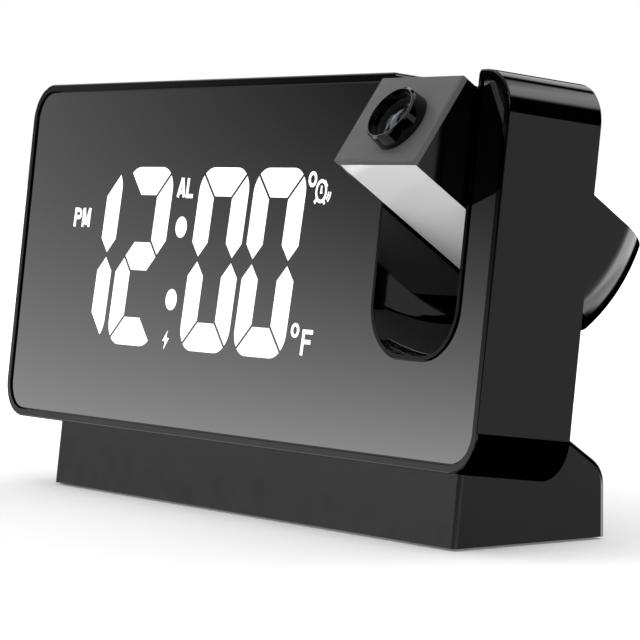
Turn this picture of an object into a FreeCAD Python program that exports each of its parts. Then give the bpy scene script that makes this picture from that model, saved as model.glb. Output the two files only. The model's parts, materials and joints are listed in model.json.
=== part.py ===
import FreeCAD, Part
import math
import os
import re
from types import SimpleNamespace

Vector = FreeCAD.Vector
X_AXIS = Vector(1, 0, 0)
Y_AXIS = Vector(0, 1, 0)
Z_AXIS = Vector(0, 0, 1)

# Driving dimensions, millimetres and degrees
DIMENSIONS = {
    # leaning housing
    "body_width": 187.0,
    "body_depth": 22.6,
    "body_height": 78.5,
    "body_lean": 7.1,
    "body_lift": 16.1,
    "corner_radius": 8.4,
    "front_edge_radius": 0.35,
    "wall": 2.0,
    "post_radius": 2.6,
    "screw_radius": 1.25,
    "stand_screw_radius": 1.45,
    "rim_width": 1.6,
    "ledge_width": 1.2,
    "ledge_thickness": 1.5,
    "table_centre": 23.921,
    # mirror panel and the display behind it
    "panel_thickness": 1.5,
    "panel_recess": 0.4,
    "panel_gap": 0.4,
    "digit_height": 40.2,
    "digit_width": 20.0,
    "digit_pitch": 21.95,
    "digit_stroke": 6.3,
    "digit_corner_radius": 5.4,
    "segment_gap": 0.65,
    "waist_gap": 1.1,
    "digit_slant": 4.0,
    "digit_level": 39.0,
    "display_centre": -22.7,
    "colon_offset": 15.6,
    "colon_radius": 2.35,
    "reflector_depth": 5.0,
    "board_thickness": 1.6,
    # slot for the projector
    "slot_centre": 68.8,
    "slot_width": 27.9,
    "slot_floor": 22.1,
    "slot_radius": 10.2,
    "slot_wall": 1.8,
    "slot_strip": 0.8,
    "slot_lip_radius": 1.2,
    # projector
    "pivot_height": 59.77,
    "pivot_depth": 12.43,
    "pivot_above": 2.9,
    "pivot_ahead": 1.1,
    "projector_tilt": 61.2,
    "projector_width": 27.0,
    "projector_thickness": 20.4,
    "projector_reach": 23.4,
    "tail_radius": 38.9,
    "tail_round": 10.0,
    "trough_gap": 0.35,
    "trough_wall": 1.5,
    "case_wall": 1.6,
    "face_thickness": 1.5,
    "under_plate_thickness": 1.2,
    "lens_shift": 2.6,
    "lens_drop": 1.2,
    "lens_radius": 4.5,
    "tube_radius": 5.0,
    "ring_foot_radius": 6.5,
    "ring_radius": 6.15,
    "ring_bore": 5.6,
    "ring_height": 3.6,
    "trunnion_radius": 4.6,
    "trunnion_bore": 2.8,
    "running_gap": 0.06,
    # rear cover and its fittings
    "cover_thickness": 2.0,
    "cover_gap": 0.15,
    "button_radius": 2.6,
    "button_gap": 0.3,
    "button_travel": 0.8,
    "button_stand_out": 1.4,
    "door_radius": 12.5,
    "cell_radius": 10.0,
    "cell_thickness": 3.2,
    "snooze_width": 52.0,
    "snooze_depth": 9.0,
    "snooze_rise": 0.6,
    # stand
    "stand_width": 159.0,
    "stand_setback": 5.7,
    "stand_depth": 38.0,
    "stand_rise": 28.0,
    "stand_slope": 35.0,
    "stand_edge": 1.25,
    "stand_wall": 2.5,
    "foot_radius": 5.0,
    "foot_height": 1.6,
    "foot_stand_out": 0.5,
}

# Each digit's side of the colon, and its step away from the digit beside the colon
DIGIT_STEPS = [(-1, -1), (-1, 0), (1, 0), (1, 1)]
LIT_SEGMENTS = ["bc", "abged", "abcdef", "abcdef"]
ALL_SEGMENTS = ["abcdefg"] * 4

doc = FreeCAD.newDocument("projection_alarm_clock")
sheet = doc.addObject("Spreadsheet::Sheet", "Sizes")
for row, (alias, amount) in enumerate(DIMENSIONS.items(), start=1):
    sheet.set("A%d" % row, alias)
    sheet.set("B%d" % row, str(amount))
    sheet.setAlias("B%d" % row, alias)
doc.recompute()
d = SimpleNamespace(**{alias: float(sheet.get(alias)) for alias in DIMENSIONS})

# Places worked out from the driving dimensions
PANEL_BACK = d.panel_recess + d.panel_thickness
LEDGE_BACK = PANEL_BACK + d.ledge_thickness
DIFFUSER_THICKNESS = 0.3
BOARD_FRONT = PANEL_BACK + DIFFUSER_THICKNESS + d.reflector_depth
COVER_FRONT = d.body_depth - d.cover_thickness
CASE_FRONT = d.projector_reach - d.face_thickness
HALF_CASE = d.projector_width / 2
HALF_SLAB = d.projector_thickness / 2
WALL_INSIDE = d.slot_width / 2 + d.slot_wall
LEAN_SLOPE = math.tan(math.radians(d.body_lean))

BODY_FRAME = FreeCAD.Placement(
    Vector(0, -d.table_centre, d.body_lift),
    FreeCAD.Rotation(X_AXIS, -d.body_lean),
)
PIVOT_IN_BODY = Vector(d.slot_centre, d.pivot_depth, d.pivot_height)
PIVOT_IN_CASE = Vector(0, d.pivot_above, d.pivot_ahead)
PROJECTOR_FRAME = BODY_FRAME.multiply(
    FreeCAD.Placement(PIVOT_IN_BODY, FreeCAD.Rotation(X_AXIS, d.projector_tilt))
).multiply(FreeCAD.Placement(-PIVOT_IN_CASE, FreeCAD.Rotation()))
TABLE_FRAME = FreeCAD.Placement(Vector(0, -d.table_centre, 0), FreeCAD.Rotation())

# How far a cutting tool runs past the face it opens
PAST = 1.0

# Places and sizes of small fittings, in the housing's own frame unless they are in the stand
# Each post of the rear cover, and the point of the wall that its rib runs to
COVER_POSTS = [
    (-86.5, 9, -92.5, 9), (-86.5, 69.5, -92.5, 69.5), (0, 7, 0, 1), (12, 70.5, 12, 77.5),
    (48.5, 12, 48.5, 1), (87.6, 24, 92.5, 24),
]
RIB_HALF = 0.9
COVER_SCREW_SPOTS = [(x, z) for x, z, wall_x, wall_z in COVER_POSTS]
UPRIGHT = BODY_FRAME.Rotation.inverted().multVec(Z_AXIS)
STAND_SCREW_SPOTS = [-50, 50]
STAND_SCREW_Y = 13.0
STAND_HOLLOW = 8.5
STAND_BACK_RADIUS = 6.0
STAND_EXTRA, STAND_HOLE_RADIUS = 0.6, 1.7
STAND_SCREW_HEAD, STAND_SHANK = (2.9, 1.8), 10
PLATE_FIT, PLATE_POST_RADIUS, PLATE_SCREW_RADIUS = 0.1, 3, 1.2
PLATE_SCREW_HEAD, PLATE_SINK_RADIUS, PLATE_SINK_DEPTH, PLATE_SHANK = (2.4, 1), 2.6, 1.2, 5
BALLAST, BALLAST_FRONT = (70, 22, 3), 14
PLATE_SCREW_SPOTS = [(-70, 14), (70, 14), (-70, 35), (70, 35)]
FOOT_SPOTS = [(-58, 15.5), (58, 15.5), (-58, 34), (58, 34)]
STAND_BOSS_RADIUS, STAND_BOSS_FOOT, STAND_BOSS_LENGTH = 3.2, 15.6, 6
STAND_SCREW_FOOT, STAND_SCREW_LENGTH = 12, 12
SNOOZE_LEFT = -52.0
SNOOZE_FRONT = 9.0
SNOOZE_SWITCH_SPOTS = [-42, -10]
SNOOZE_STEM = 1.0
SNOOZE_SKIRT, SNOOZE_FLANGE, SNOOZE_HEIGHT = 1.2, 1.0, 3.4
SOFT_EDGE = 0.5
SEGMENT_LAMP, INDICATOR_LAMP = (1.6, 0.8, 1.6), (1.0, 0.6, 1.0)
DISPLAY_LEFT, DISPLAY_LOW = -80.0, 14.0
DISPLAY_WIDTH, DISPLAY_HEIGHT = 125.0, 50.0
INDICATOR_RADIUS = 2.2
INDICATOR_SPOTS = [(-75.5, 47.1), (-22.2, 54.6), (31.2, 54.2), (30.8, 22.8), (-23.9, 20.8)]
MAIN_BOARD_CORNER = (-80.0, 12.2, 14.0)
MAIN_BOARD_WIDTH, MAIN_BOARD_HEIGHT = 125.0, 52.0
BOARD_BACK = MAIN_BOARD_CORNER[1] + d.board_thickness
BOARD_SPACE = MAIN_BOARD_CORNER[1] - BOARD_FRONT - d.board_thickness
# Parts on the main board: how far from its corner, and their width, depth and height
CHIP = (30, 9), (10, 1.4, 10)
CRYSTAL = (45, 10), (8, 2.4, 3)
SENSOR = (4, 3), (3, 1.2, 1.6)
CAPACITOR_OFFSET, CAPACITOR_PITCH, CAPACITOR_RADIUS, CAPACITOR_LENGTH = (62, 29), 9, 3.1, 5.2
CONNECTOR_OFFSET, CONNECTOR_WIDTH, CONNECTOR_HEIGHT = (20, 4), 16, 4
BOARD_POST_RADIUS = 2.0
BOARD_POST_SPOTS = [(-77, 17), (42, 17), (-77, 61), (42, 61)]
BUTTON_NAMES = ["button_set", "button_down", "button_up", "button_alarm", "button_projector"]
BUTTON_SPOTS = [30, 18, 6, -6, -18]
BUTTON_LEVEL = 54.0
BUTTON_BACK = COVER_FRONT - d.button_travel - 0.3
SWITCH_WIDTH, SWITCH_HEIGHT, SWITCH_STEM_RADIUS = 6, 3.0, 1.7
SWITCH_STEM = BUTTON_BACK - d.button_travel - 0.1 - BOARD_BACK - SWITCH_HEIGHT
FLANGE_RIM, FLANGE_THICKNESS = 0.9, 0.8
SNOOZE_LOW = d.body_height + d.snooze_rise - SNOOZE_HEIGHT - 0.3
SNOOZE_SWITCH_LEVEL = SNOOZE_LOW - d.button_travel - 0.05 - SNOOZE_STEM - SWITCH_HEIGHT
CELL_GAP = 0.6
DOOR_RECESS, COIN_SLOT = 0.2, (10, 0.9, 1.6)
CONTACT_PAD, CONTACT_CLIP = (6, 8), (5, 0.4)
DOOR_SPOT = (-58, 48)
USB_SPOT = (-14, 28)
USB_WIDTH, USB_HEIGHT, USB_FIT, USB_WALL = 14.2, 7.0, 0.15, 0.45
USB_TONGUE_WIDTH, USB_TONGUE_HEIGHT = 11.2, 1.4
SOCKET_LENGTH = d.body_depth - 0.4 - BOARD_BACK
JACK_SPOT = (6, 28)
JACK_RADIUS, JACK_BORE, JACK_PIN, JACK_FLOOR = 4.6, 2.8, 0.95, 0.8
BUZZER_SPOT = (30, 28)
BUZZER_RADIUS, BUZZER_HEIGHT, BUZZER_GAP, BUZZER_HOLE, BUZZER_FOOT = 8, 3.2, 0.2, 1.2, (10, 4)
SOUND_HOLE_COUNT, SOUND_RING, SOUND_HOLE = 6, 4.5, 1.0
VENT_COUNT, VENT_LEFT, VENT_PITCH, VENT_LOW = 8, -72, 4, 16
VENT_WIDTH, VENT_HEIGHT = 1.6, 16
SINK_DEPTH, SINK_RADIUS, SCREW_HEAD_RADIUS, SCREW_HEAD_HEIGHT = 1.2, 2.4, 2.2, 1
SCREW_HOLE_RADIUS, SCREW_IN_POST, DRIVE_LENGTH, DRIVE_WIDTH, DRIVE_DEPTH = 1.5, 6, 2.4, 0.6, 0.5
CASE_LOW = -27.0
CASE_OVERLAP, CASE_LEDGE = 0.5, 0.8
PLATE_MARGIN, PLATE_GAP = 0.6, 0.05
FACE_BEVEL, RING_BEVEL = 0.3, 0.35
PLATE_LOW = -25.0
TUBE_LOW, TUBE_STAND_OUT, TUBE_FLOOR, TUBE_THROAT = 6.0, 1.6, 1.0, 3
# Radius of the curved face, and the thickness at the rim
FRONT_LENS, REAR_LENS = (7.0, 1.4), (9.0, 1.2)
MASK_WIDTH, MASK_THICKNESS = 10, 1.2
LED_BOARD, LED_BOARD_LOW, LED_RADIUS, LED_HEIGHT = (18, 16), -6, 2.5, 3
CONDENSER_LOW, CONDENSER_RADIUS, CONDENSER_THICKNESS, SHROUD_WALL = 1.6, 4.2, 1.8, 0.8
TRUNNION_FLANGE, TRUNNION_RIM, TRUNNION_END = 1.0, 0.9, 1.6
WASHER_RIM, CLIP_RIM, CLIP_THICKNESS, CLIP_GAP = 2.5, 1.3, 0.8, 0.15

sub_parts = []


def bind(item, **sizes):
    """Bind properties to formulas written with the sheet's aliases."""
    for name, formula in sizes.items():
        text = re.sub(r"[a-z]+(?:_[a-z]+)+|wall", lambda found: "Sizes." + found.group(0), str(formula))
        item.setExpression(name, text)
    return item


def place(item, x, y, z, rotation=None):
    item.Placement = FreeCAD.Placement(Vector(x, y, z), rotation or FreeCAD.Rotation())
    return item


def box(name, corner, length, width, height):
    item = doc.addObject("Part::Box", name)
    bind(item, Length=length, Width=width, Height=height)
    return place(item, *corner)


def cylinder(name, start, along, radius, height):
    item = doc.addObject("Part::Cylinder", name)
    bind(item, Radius=radius, Height=height)
    return place(item, *start, FreeCAD.Rotation(Z_AXIS, along))


def cone(name, start, along, radius_start, radius_end, height):
    item = doc.addObject("Part::Cone", name)
    bind(item, Radius1=radius_start, Radius2=radius_end, Height=height)
    return place(item, *start, FreeCAD.Rotation(Z_AXIS, along))


def fuse(name, pieces):
    item = doc.addObject("Part::MultiFuse", name)
    item.Shapes = pieces
    return item


def group(name, pieces):
    item = doc.addObject("Part::Compound", name)
    item.Links = pieces
    return item


def cut(name, base, tools):
    item = doc.addObject("Part::Cut", name)
    item.Base = base
    item.Tool = tools[0] if len(tools) == 1 else fuse(name + "_tools", tools)
    return item


def common(name, first, second):
    item = doc.addObject("Part::MultiCommon", name)
    item.Shapes = [first, second]
    return item


def fillet(name, base, chosen, kind="Part::Fillet"):
    """Round the edges for which chosen gives a radius."""
    doc.recompute()
    item = doc.addObject(kind, name)
    item.Base = base
    radii = [(number, chosen(edge)) for number, edge in enumerate(base.Shape.Edges, start=1)]
    item.Edges = [(number, radius, radius) for number, radius in radii if radius]
    return item


def runs_along(edge, axis):
    if edge.Curve.TypeId != "Part::GeomLine":
        return False
    return abs(edge.Curve.Direction.dot(axis)) > 0.999


def wheel(name, start, radius, width, edge_round):
    """A disc about the pivot's direction, with both its edges rounded."""
    disc = cylinder(name + "_disc", start, X_AXIS, radius, width)

    def is_rim(edge):
        return edge_round if edge.Curve.TypeId == "Part::GeomCircle" else 0

    return fillet(name, disc, is_rim)


def rounded_box(name, corner, length, width, height, radius, lower_only=False):
    """A block whose edges along Y are rounded."""
    block = box(name + "_block", corner, length, width, height)
    doc.recompute()
    middle = block.Shape.BoundBox.Center.z

    def chosen(edge):
        wanted = runs_along(edge, Y_AXIS) and not (lower_only and edge.CenterOfMass.z > middle)
        return radius if wanted else 0

    return fillet(name, block, chosen)


def outline_block(name, inset, start, depth):
    """The housing's front outline, drawn in by an amount, as a block from start backwards."""
    width, height = "body_width - 2 * (%s)" % inset, "body_height - 2 * (%s)" % inset
    amount = amount_of(inset)
    corner = (-d.body_width / 2 + amount, start, amount)
    return rounded_box(name, corner, width, depth, height, d.corner_radius - amount)


def amount_of(formula):
    """The value of a sum of aliases and numbers."""
    total = 0.0
    for term in str(formula).split("+"):
        term = term.strip()
        total += getattr(d, term) if hasattr(d, term) else float(term)
    return total


def slot_block(name, side, start, depth):
    """A block with the slot's U outline, grown by side, open at the top."""
    amount = amount_of(side)
    half = d.slot_width / 2 + amount
    corner = (d.slot_centre - half, start, d.slot_floor - amount)
    return rounded_box(
        name, corner, "slot_width + 2 * (%s)" % side, depth, "body_height - slot_floor + 10",
        d.slot_radius + amount, lower_only=True,
    )


def sketch_on(name, plane_rotation, offset, loops):
    """A sketch of closed loops of (point, point on the way of an arc, or None for a line)."""
    item = doc.addObject("Sketcher::SketchObject", name)
    item.Placement = FreeCAD.Placement(offset, plane_rotation)
    for loop in loops:
        for (start, way), (end, next_way) in zip(loop, loop[1:] + loop[:1]):
            if way:
                edge = Part.Arc(Vector(*start, 0), Vector(*way, 0), Vector(*end, 0))
            else:
                edge = Part.LineSegment(Vector(*start, 0), Vector(*end, 0))
            item.addGeometry(edge, False)
    return item


def extrude(name, sketch, direction, length, symmetric=False):
    item = doc.addObject("Part::Extrusion", name)
    item.Base = sketch
    item.DirMode = "Custom"
    item.Dir = direction
    item.Solid = True
    item.Symmetric = symmetric
    bind(item, LengthFwd=length)
    return item


def finish(item, label, frame):
    """Name a finished sub-part and stand it in the clock."""
    doc.recompute()
    item.Placement = frame.multiply(item.Placement)
    item.Label = label
    sub_parts.append(item)
    return item


# Seven segment digits
def ring_point(angle):
    """A point of the rounded upper right corner of an upright digit, centred on the digit."""
    turn = math.radians(angle)
    radius = d.digit_corner_radius
    across = d.digit_width / 2 - radius + radius * math.cos(turn)
    return across, d.digit_height / 2 - radius + radius * math.sin(turn)


def flip(path, across, up):
    """Mirror a path of (point, point passed on the way to the next) pairs."""
    return [
        tuple((spot[0] * across, spot[1] * up) if spot else None for spot in step)
        for step in path
    ]


def segment_paths():
    """Outline of each segment of an upright digit, with arcs given by a point on their way."""
    stroke = d.digit_stroke
    half_width = d.digit_width / 2
    half_height = d.digit_height / 2
    arc_start = half_height - d.digit_corner_radius
    offset = d.segment_gap / math.sqrt(2)
    turn = math.degrees(math.asin(d.segment_gap / 2 / d.digit_corner_radius))
    waist = d.waist_gap / 2
    upright = [
        ((half_width - stroke, half_height - stroke - offset), None),
        (ring_point(45 - turn), ring_point(22.5 - turn / 2)),
        ((half_width, arc_start), None),
        ((half_width, waist + stroke / 2), None),
        ((half_width - stroke / 2, waist), None),
        ((half_width - stroke, waist + stroke / 2), None),
    ]
    crown = [
        ((half_width - stroke - offset, half_height - stroke), None),
        (ring_point(45 + turn), ring_point(67.5 + turn / 2)),
        (ring_point(90), None),
    ]
    far_side = [(spot, None) for spot, way in reversed(flip(crown, -1, 1))]
    far_side[0] = (far_side[0][0], (-crown[1][1][0], crown[1][1][1]))
    reach = half_width - stroke / 2 + waist - 2 * offset
    shoulder = reach - stroke / 2
    bar = [
        ((reach, 0), None), ((shoulder, stroke / 2), None), ((-shoulder, stroke / 2), None),
        ((-reach, 0), None), ((-shoulder, -stroke / 2), None), ((shoulder, -stroke / 2), None),
    ]
    top = crown + far_side
    return {
        "a": top, "b": upright, "c": flip(upright, 1, -1), "d": flip(top, 1, -1),
        "e": flip(upright, -1, -1), "f": flip(upright, -1, 1), "g": bar,
    }


def segment_loops(lit):
    """Outlines of the segments of four slanted digits, seen from the front."""
    paths = segment_paths()
    slant = math.tan(math.radians(d.digit_slant))
    loops = []
    for (side, step), names in zip(DIGIT_STEPS, lit):
        centre = d.display_centre + side * d.colon_offset + step * d.digit_pitch
        for name in names:
            loops.append([
                tuple((centre + spot[0] + slant * spot[1], d.digit_level + spot[1]) if spot else None
                      for spot in step_of)
                for step_of in paths[name]
            ])
    return loops


def segments(name, lit, start, length):
    """Prisms of display segments, from start backwards."""
    facing_front = FreeCAD.Rotation(X_AXIS, 90)
    sketch = sketch_on(name + "_outlines", facing_front, Vector(0, start, 0), segment_loops(lit))
    return extrude(name, sketch, Y_AXIS, length)


def colon_dots(name, radius, start, length):
    lean = math.tan(math.radians(d.digit_slant))
    step = d.digit_height / 5
    dots = []
    for side in (-1, 1):
        spot = (d.display_centre + side * step * lean, start, d.digit_level - 1.2 + side * step)
        dots.append(cylinder("%s_%d" % (name, len(dots)), spot, Y_AXIS, radius, length))
    return dots


def in_housing(x, y, z):
    """A point given in the stand's frame, in the housing's own frame."""
    return BODY_FRAME.inverse().multVec(TABLE_FRAME.multVec(Vector(x, y, z)))


# Housing: one moulded shell with the rim, the side walls and the U-shaped slot
def make_housing():
    block = outline_block("housing_outline", "0", 0, "body_depth")
    doc.recompute()

    def at_front(edge):
        return d.front_edge_radius if edge.BoundBox.YMax < 0.01 else 0

    outer = fillet("housing_outer", block, at_front)
    pocket = outline_block("panel_pocket", "rim_width", -1, "panel_recess + panel_thickness + 1")
    window = outline_block(
        "ledge_window", "rim_width + ledge_width", PANEL_BACK - 0.5, "ledge_thickness + 1"
    )
    hollow = outline_block("hollow", "wall", LEDGE_BACK, "body_depth - panel_recess - panel_thickness")
    shell = cut("housing_shell", outer, [pocket, window, hollow])
    strip = slot_block("slot_strip_block", "slot_strip", 0, "panel_recess + panel_thickness")
    behind_panel = "body_depth - panel_recess - panel_thickness"
    walls = slot_block("slot_wall_block", "slot_wall", PANEL_BACK, behind_panel)
    outline = outline_block("slot_trim", "0", 0, "body_depth")
    lining = common("slot_lining", fuse("slot_blocks", [strip, walls]), outline)
    half = d.slot_width / 2 + d.slot_wall
    mould = wheel(
        "trough_mould", PIVOT_IN_BODY - Vector(half, 0, 0), "tail_radius + trough_gap + trough_wall",
        "slot_width + 2 * slot_wall", d.slot_radius + d.trough_wall,
    )
    limits = box(
        "trough_limits", (d.slot_centre - half - 1, PANEL_BACK, d.slot_floor - 8), 2 * half + 2,
        COVER_FRONT - PANEL_BACK - 0.2, 20,
    )
    trough_shell = common("trough_shell", mould, limits)
    posts = []
    start = LEDGE_BACK - 0.5
    length = COVER_FRONT - start
    thick = 2 * RIB_HALF
    for i, (x, z, wall_x, wall_z) in enumerate(COVER_POSTS):
        posts.append(cylinder("cover_post_%d" % i, (x, start, z), Y_AXIS, "post_radius", length))
        corner = (min(x, wall_x) - RIB_HALF, start, min(z, wall_z) - RIB_HALF)
        size = (abs(x - wall_x) + thick, length, abs(z - wall_z) + thick)
        posts.append(box("cover_rib_%d" % i, corner, *size))
    body = fuse("housing_body", [shell, lining, trough_shell] + posts)
    opening = slot_block("slot_opening", "0", -1, "body_depth + 2")
    trough = wheel(
        "slot_trough", PIVOT_IN_BODY - Vector(d.slot_width / 2, 0, 0), "tail_radius + trough_gap",
        "slot_width", d.slot_radius,
    )
    snooze_hole = box(
        "snooze_hole", (SNOOZE_LEFT - d.button_gap, SNOOZE_FRONT - d.button_gap, d.body_height - d.wall - 1),
        "snooze_width + 2 * button_gap", "snooze_depth + 2 * button_gap", "wall + 2",
    )
    bores = [
        cylinder(
            "trunnion_hole", (d.slot_centre - WALL_INSIDE - 1, d.pivot_depth, d.pivot_height), X_AXIS,
            "trunnion_radius + running_gap", "slot_width + 2 * slot_wall + 2",
        )
    ]
    for i, (x, z) in enumerate(COVER_SCREW_SPOTS):
        bores.append(cylinder("post_bore_%d" % i, (x, COVER_FRONT - 8, z), Y_AXIS, "screw_radius", 9))
    bosses = []
    for i, x in enumerate(STAND_SCREW_SPOTS):
        foot = in_housing(x, STAND_SCREW_Y, STAND_BOSS_FOOT)
        bosses.append(cylinder("stand_boss_%d" % i, foot, UPRIGHT, STAND_BOSS_RADIUS, STAND_BOSS_LENGTH))
        foot = in_housing(x, STAND_SCREW_Y, STAND_SCREW_FOOT)
        bores.append(cylinder("stand_bore_%d" % i, foot, UPRIGHT, "stand_screw_radius", STAND_SCREW_LENGTH))
    whole = fuse("housing_whole", [body] + bosses)
    lips = []
    for side in (-1, 1):
        reach = d.slot_lip_radius
        x = d.slot_centre + side * (d.slot_width / 2 + reach)
        corner = (min(x, x - side * (reach + 1)), -1, d.body_height - reach)
        block = box("lip_block_%d" % side, corner, reach + 1, "body_depth + 2", reach + 1)
        start = (x, -2, d.body_height - reach)
        roll = cylinder("lip_roll_%d" % side, start, Y_AXIS, "slot_lip_radius", "body_depth + 4")
        lips.append(cut("lip_%d" % side, block, [roll]))
    finish(cut("housing_cut", whole, [opening, trough, snooze_hole] + lips + bores), "housing", BODY_FRAME)


def make_mirror_panel():
    block = outline_block("panel_outline", "rim_width + panel_gap", d.panel_recess, "panel_thickness")
    notch = slot_block("panel_notch", "slot_strip + 0.3", -1, "panel_recess + panel_thickness + 2")
    windows = segments("panel_windows", LIT_SEGMENTS, d.panel_recess - 0.5, "panel_thickness + 1")
    dots = colon_dots("panel_dot", "colon_radius", d.panel_recess - 0.5, "panel_thickness + 1")
    finish(cut("panel_cut", block, [notch, windows] + dots), "mirror_panel", BODY_FRAME)


# Display: lit segments in the panel, diffuser, reflector, board and lamps
def make_display():
    lit = segments("segment_lights", LIT_SEGMENTS, d.panel_recess, "panel_thickness")
    finish(lit, "lit_segments", BODY_FRAME)
    dots = colon_dots("colon_light", "colon_radius", d.panel_recess, "panel_thickness")
    finish(group("colon_pair", dots), "colon_lights", BODY_FRAME)
    corner = (DISPLAY_LEFT, PANEL_BACK, DISPLAY_LOW)
    diffuser = box("diffuser_sheet", corner, DISPLAY_WIDTH, DIFFUSER_THICKNESS, DISPLAY_HEIGHT)
    finish(diffuser, "display_diffuser", BODY_FRAME)
    start = PANEL_BACK + DIFFUSER_THICKNESS
    corner = (DISPLAY_LEFT, start, DISPLAY_LOW)
    block = box("reflector_block", corner, DISPLAY_WIDTH, "reflector_depth", DISPLAY_HEIGHT)
    wells = segments("reflector_wells", ALL_SEGMENTS, start - 0.5, "reflector_depth + 1")
    dot_wells = colon_dots("reflector_dot", "colon_radius + 0.2", start - 0.5, "reflector_depth + 1")
    side_wells = []
    for i, (x, z) in enumerate(INDICATOR_SPOTS):
        foot = (x, start - 0.5, z)
        well = cylinder("indicator_well_%d" % i, foot, Y_AXIS, INDICATOR_RADIUS, "reflector_depth + 1")
        side_wells.append(well)
    finish(cut("reflector_cut", block, [wells] + dot_wells + side_wells), "display_reflector", BODY_FRAME)
    corner = (DISPLAY_LEFT, BOARD_FRONT, DISPLAY_LOW)
    board = box("display_board_plate", corner, DISPLAY_WIDTH, "board_thickness", DISPLAY_HEIGHT)
    finish(board, "display_board", BODY_FRAME)
    places = []
    for loop in segment_loops(ALL_SEGMENTS):
        x = sum(spot[0] for spot, way in loop) / len(loop)
        z = sum(spot[1] for spot, way in loop) / len(loop)
        places.append((x, z, SEGMENT_LAMP))
    places += [(x, z, INDICATOR_LAMP) for x, z in INDICATOR_SPOTS]
    lamps = []
    for i, (x, z, size) in enumerate(places):
        corner = (x - size[0] / 2, BOARD_FRONT - size[1], z - size[2] / 2)
        lamps.append(box("segment_lamp_%d" % i, corner, *size))
    finish(group("segment_lamps", lamps), "display_lamps", BODY_FRAME)


def on_board(name, offset, size):
    """A block on the back of the main board, placed from the board's corner."""
    corner = (MAIN_BOARD_CORNER[0] + offset[0], BOARD_BACK, MAIN_BOARD_CORNER[2] + offset[1])
    return box(name, corner, *size)


def make_electronics():
    left, front, low = MAIN_BOARD_CORNER
    size = (MAIN_BOARD_WIDTH, "board_thickness", MAIN_BOARD_HEIGHT)
    finish(box("main_board_plate", MAIN_BOARD_CORNER, *size), "main_board", BODY_FRAME)
    posts = []
    start = BOARD_FRONT + d.board_thickness
    for i, (x, z) in enumerate(BOARD_POST_SPOTS):
        posts.append(cylinder("board_post_%d" % i, (x, start, z), Y_AXIS, BOARD_POST_RADIUS, BOARD_SPACE))
    finish(group("board_post_set", posts), "board_posts", BODY_FRAME)
    finish(on_board("chip_body", *CHIP), "controller_chip", BODY_FRAME)
    finish(on_board("crystal_can", *CRYSTAL), "clock_crystal", BODY_FRAME)
    finish(on_board("sensor_bead", *SENSOR), "temperature_sensor", BODY_FRAME)
    cans = []
    for i in range(2):
        foot = (left + CAPACITOR_OFFSET[0] + CAPACITOR_PITCH * i, BOARD_BACK, low + CAPACITOR_OFFSET[1])
        cans.append(cylinder("capacitor_can_%d" % i, foot, Y_AXIS, CAPACITOR_RADIUS, CAPACITOR_LENGTH))
    finish(group("capacitor_set", cans), "capacitors", BODY_FRAME)
    corner = (left + CONNECTOR_OFFSET[0], start, low + CONNECTOR_OFFSET[1])
    plug = box("connector_shell", corner, CONNECTOR_WIDTH, BOARD_SPACE, CONNECTOR_HEIGHT)
    finish(plug, "board_connector", BODY_FRAME)
    half = SWITCH_WIDTH / 2
    switches = []
    for i, x in enumerate(BUTTON_SPOTS):
        corner = (x - half, BOARD_BACK, BUTTON_LEVEL - half)
        base = box("button_switch_%d" % i, corner, SWITCH_WIDTH, SWITCH_HEIGHT, SWITCH_WIDTH)
        foot = (x, BOARD_BACK + SWITCH_HEIGHT, BUTTON_LEVEL)
        stem = cylinder("button_switch_stem_%d" % i, foot, Y_AXIS, SWITCH_STEM_RADIUS, SWITCH_STEM)
        switches.append(fuse("button_switch_pair_%d" % i, [base, stem]))
    finish(group("button_switch_set", switches), "button_switches", BODY_FRAME)
    keys = []
    level = SNOOZE_SWITCH_LEVEL
    seat = SNOOZE_FRONT + (d.snooze_depth - SWITCH_WIDTH) / 2
    top = low + MAIN_BOARD_HEIGHT
    for i, x in enumerate(SNOOZE_SWITCH_SPOTS):
        corner = (x - half, seat, level - d.board_thickness)
        shelf = box("snooze_shelf_%d" % i, corner, SWITCH_WIDTH, SWITCH_WIDTH, "board_thickness")
        reach = seat + SWITCH_WIDTH - front
        riser_height = level - d.board_thickness - top
        riser = box("snooze_riser_%d" % i, (x - half, front, top), SWITCH_WIDTH, reach, riser_height)
        corner = (x - half, seat, level)
        base = box("snooze_switch_%d" % i, corner, SWITCH_WIDTH, SWITCH_WIDTH, SWITCH_HEIGHT)
        foot = (x, seat + half, level + SWITCH_HEIGHT)
        stem = cylinder("snooze_switch_stem_%d" % i, foot, Z_AXIS, SWITCH_STEM_RADIUS, SNOOZE_STEM)
        keys.append(fuse("snooze_switch_pair_%d" % i, [shelf, riser, base, stem]))
    finish(group("snooze_switch_set", keys), "snooze_switches", BODY_FRAME)


def make_battery():
    x, z = DOOR_SPOT
    cell_start = COVER_FRONT - CELL_GAP - d.cell_thickness
    cell = cylinder("cell_disc", (x, cell_start, z), Y_AXIS, "cell_radius", "cell_thickness")
    finish(cell, "coin_cell", BODY_FRAME)
    pad_width, pad_height = CONTACT_PAD
    clip_width, clip_thickness = CONTACT_CLIP
    reach = cell_start - BOARD_BACK
    corner = (x - pad_width / 2, BOARD_BACK, z - pad_height / 2)
    pad = box("contact_pad", corner, pad_width, reach, pad_height)
    corner = (x - clip_width / 2, BOARD_BACK, z + d.cell_radius + 0.2)
    clip = box("contact_clip", corner, clip_width, reach + d.cell_thickness, clip_thickness)
    finish(group("contact_set", [pad, clip]), "battery_contacts", BODY_FRAME)


def hole_in_cover(name, spot, radius):
    start = (spot[0], COVER_FRONT - PAST, spot[1])
    return cylinder(name, start, Y_AXIS, radius, "cover_thickness + %s" % (2 * PAST))


def window_in_cover(name, corner, width, height):
    start = (corner[0], COVER_FRONT - PAST, corner[1])
    return box(name, start, width, "cover_thickness + %s" % (2 * PAST), height)


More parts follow.
